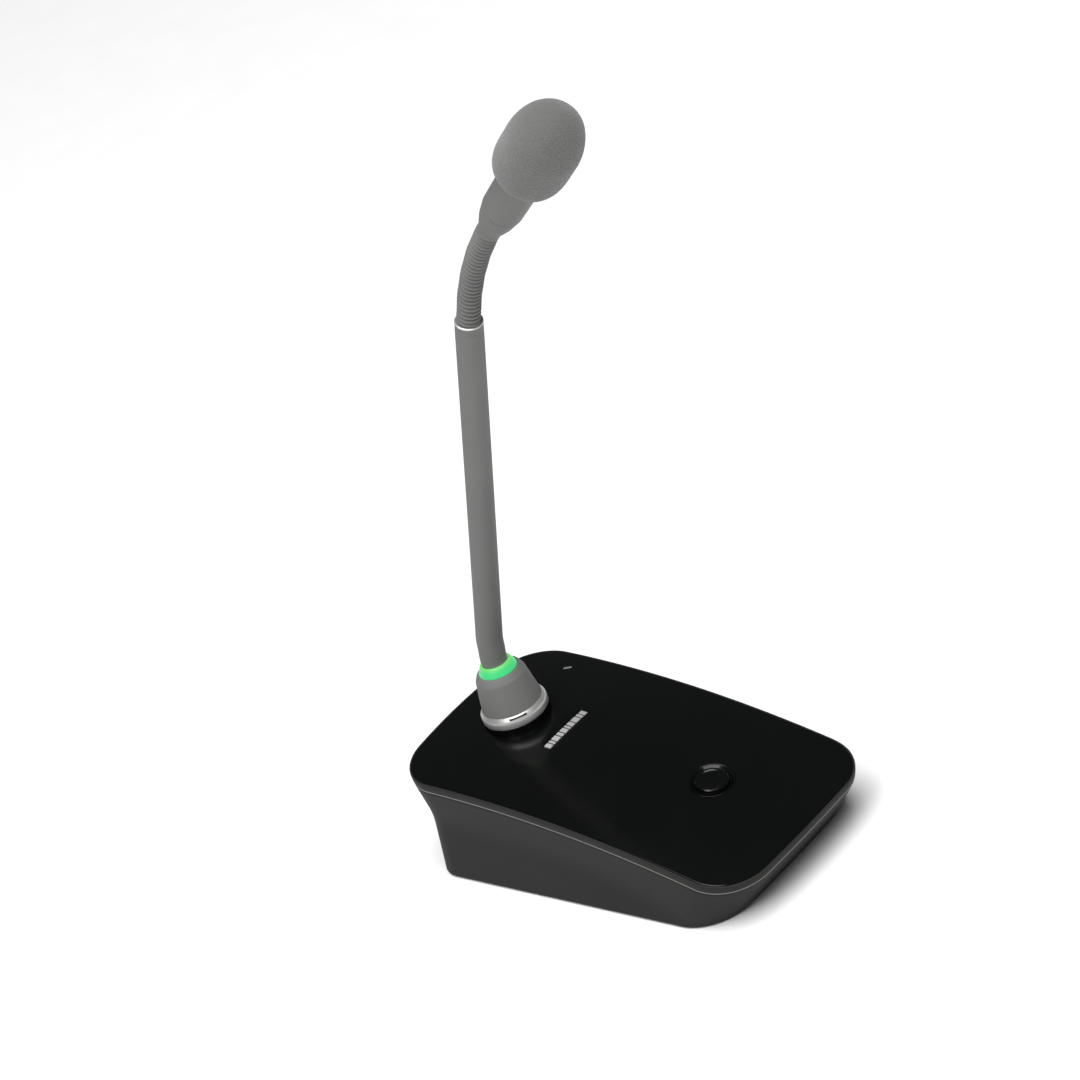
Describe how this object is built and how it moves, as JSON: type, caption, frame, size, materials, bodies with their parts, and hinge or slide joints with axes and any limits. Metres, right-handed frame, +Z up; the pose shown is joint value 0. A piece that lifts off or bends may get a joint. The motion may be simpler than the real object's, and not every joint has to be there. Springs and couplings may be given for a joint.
{
  "type": "gooseneck podium microphone",
  "caption": "Wedge-shaped wireless desk microphone base with talk button, lit cone and a bendable two-flex neck carrying a foam-covered capsule.",
  "frame": {"origin": "on the table, under the middle of the base's length and width", "axes": "+Z up, -Y to the front where the talk button is, +Y to the rear where the neck stands, +X to the right of a talker who sits at the front and faces the base"},
  "size_m": [0.0666, 0.1404, 0.2421],
  "materials": {
    "case": "satin moulded",
    "panel": "polished",
    "gasket": "satin strip",
    "pad": "textured rubber",
    "steel": "zinc plated",
    "ballast": "cast",
    "board": "solder mask",
    "chip": "moulded",
    "gold": "gold plated",
    "inner_plastic": "moulded",
    "cell_wrap": "shrink wrap",
    "lens": "frosted clear",
    "badge": "satin blank strip",
    "chrome": "satin chrome",
    "neck": "matte grey",
    "lamp": "lit light guide",
    "foam": "open cell foam",
    "cable": "jacket"
  },
  "bodies": {
    "base": {"top_panel": "panel", "top_cover": "case", "seam_gasket": "gasket", "lower_shell": "case", "bottom_plate": "steel", "base_pad": "pad", "case_screws": "steel", "ballast_block": "ballast", "ballast_screws": "steel", "main_board": "board", "board_screws": "steel", "board_chips": "chip", "antenna": "gold", "battery_tray": "inner_plastic", "battery": "cell_wrap", "button_bezel": "panel", "button_switch": "inner_plastic", "button_board": "board", "button_board_screws": "steel", "status_lens": "lens", "badge_strip": "badge", "contact_block": "inner_plastic", "charge_contacts": "gold", "power_switch": "inner_plastic", "mic_socket": "panel", "chrome_ring": "chrome", "mic_plug": "inner_plastic", "plug_pins": "gold", "cone_shell": "neck", "preamp_board": "board", "led_board": "board", "ring_leds": "lens", "light_ring": "lamp", "neck_root": "neck"},
    "talk_button": {"talk_button": "panel"},
    "power_slider": {"power_slider": "inner_plastic"},
    "lower_link_1": {"lower_link_1": "neck"},
    "lower_link_2": {"lower_link_2": "neck"},
    "lower_link_3": {"lower_link_3": "neck"},
    "lower_link_4": {"lower_link_4": "neck"},
    "lower_link_5": {"lower_link_5": "neck"},
    "lower_link_6": {"lower_link_6": "neck"},
    "lower_link_7": {"lower_link_7": "neck"},
    "neck_tube": {"tube_plug": "steel", "neck_tube": "neck", "tube_cable": "cable", "tube_ferrule": "neck"},
    "upper_link_1": {"upper_link_1": "neck"},
    "upper_link_2": {"upper_link_2": "neck"},
    "upper_link_3": {"upper_link_3": "neck"},
    "upper_link_4": {"upper_link_4": "neck"},
    "upper_link_5": {"upper_link_5": "neck"},
    "upper_link_6": {"upper_link_6": "neck"},
    "upper_link_7": {"upper_link_7": "neck"},
    "upper_link_8": {"upper_link_8": "neck"},
    "head": {"head_collar": "neck", "capsule_housing": "neck", "capsule": "steel", "capsule_grille": "inner_plastic", "windscreen": "foam"}
  },
  "joints": [
    {"name": "talk_press", "type": "slide", "parent": "base", "child": "talk_button", "axis": [0, 0.2436, -0.9699], "range_m": [0, 0.0005], "stiffness_N_per_m": 2000, "springref_m": -0.0004},
    {"name": "power_slide", "type": "slide", "parent": "base", "child": "power_slider", "axis": [1, 0, 0], "range_m": [0, 0.004]},
    {"name": "lower_nod_1", "type": "hinge", "parent": "base", "child": "lower_link_1", "pos_m": [0, 0.0384, 0.057], "axis": [1, 0, 0], "range_deg": [-18, 6]},
    {"name": "lower_side_1", "type": "hinge", "parent": "lower_link_1", "child": "lower_link_2", "pos_m": [0, 0.03735, 0.06086], "axis": [0, 0.9646, 0.2639], "range_deg": [-12, 12]},
    {"name": "lower_nod_2", "type": "hinge", "parent": "lower_link_2", "child": "lower_link_3", "pos_m": [0, 0.03629, 0.06472], "axis": [1, 0, 0], "range_deg": [-18, 6]},
    {"name": "lower_side_2", "type": "hinge", "parent": "lower_link_3", "child": "lower_link_4", "pos_m": [0, 0.03471, 0.06839], "axis": [0, 0.9184, 0.3955], "range_deg": [-12, 12]},
    {"name": "lower_nod_3", "type": "hinge", "parent": "lower_link_4", "child": "lower_link_5", "pos_m": [0, 0.03313, 0.07206], "axis": [1, 0, 0], "range_deg": [-18, 6]},
    {"name": "lower_side_3", "type": "hinge", "parent": "lower_link_5", "child": "lower_link_6", "pos_m": [0, 0.03154, 0.07574], "axis": [0, 0.9184, 0.3955], "range_deg": [-12, 12]},
    {"name": "lower_nod_4", "type": "hinge", "parent": "lower_link_6", "child": "lower_link_7", "pos_m": [0, 0.02996, 0.07941], "axis": [1, 0, 0], "range_deg": [-18, 6]},
    {"name": "lower_side_4", "type": "hinge", "parent": "lower_link_7", "child": "neck_tube", "pos_m": [0, 0.02838, 0.08309], "axis": [0, 0.9184, 0.3955], "range_deg": [-12, 12]},
    {"name": "upper_nod_1", "type": "hinge", "parent": "neck_tube", "child": "upper_link_1", "pos_m": [0, -0.01141, 0.17548], "axis": [1, 0, 0], "range_deg": [-12, 8]},
    {"name": "upper_side_1", "type": "hinge", "parent": "upper_link_1", "child": "upper_link_2", "pos_m": [0, -0.01349, 0.17925], "axis": [0, 0.8763, 0.4818], "range_deg": [-12, 12]},
    {"name": "upper_nod_2", "type": "hinge", "parent": "upper_link_2", "child": "upper_link_3", "pos_m": [0, -0.01556, 0.18302], "axis": [1, 0, 0], "range_deg": [-12, 8]},
    {"name": "upper_side_2", "type": "hinge", "parent": "upper_link_3", "child": "upper_link_4", "pos_m": [0, -0.01798, 0.18657], "axis": [0, 0.8261, 0.5635], "range_deg": [-12, 12]},
    {"name": "upper_nod_3", "type": "hinge", "parent": "upper_link_4", "child": "upper_link_5", "pos_m": [0, -0.0204, 0.19012], "axis": [1, 0, 0], "range_deg": [-12, 8]},
    {"name": "upper_side_3", "type": "hinge", "parent": "upper_link_5", "child": "upper_link_6", "pos_m": [0, -0.02316, 0.19343], "axis": [0, 0.7683, 0.6401], "range_deg": [-12, 12]},
    {"name": "upper_nod_4", "type": "hinge", "parent": "upper_link_6", "child": "upper_link_7", "pos_m": [0, -0.02591, 0.19673], "axis": [1, 0, 0], "range_deg": [-12, 8]},
    {"name": "upper_side_4", "type": "hinge", "parent": "upper_link_7", "child": "upper_link_8", "pos_m": [0, -0.02897, 0.19975], "axis": [0, 0.7034, 0.7108], "range_deg": [-12, 12]},
    {"name": "upper_nod_5", "type": "hinge", "parent": "upper_link_8", "child": "head", "pos_m": [0, -0.03202, 0.20278], "axis": [1, 0, 0], "range_deg": [-12, 8]}
  ]
}
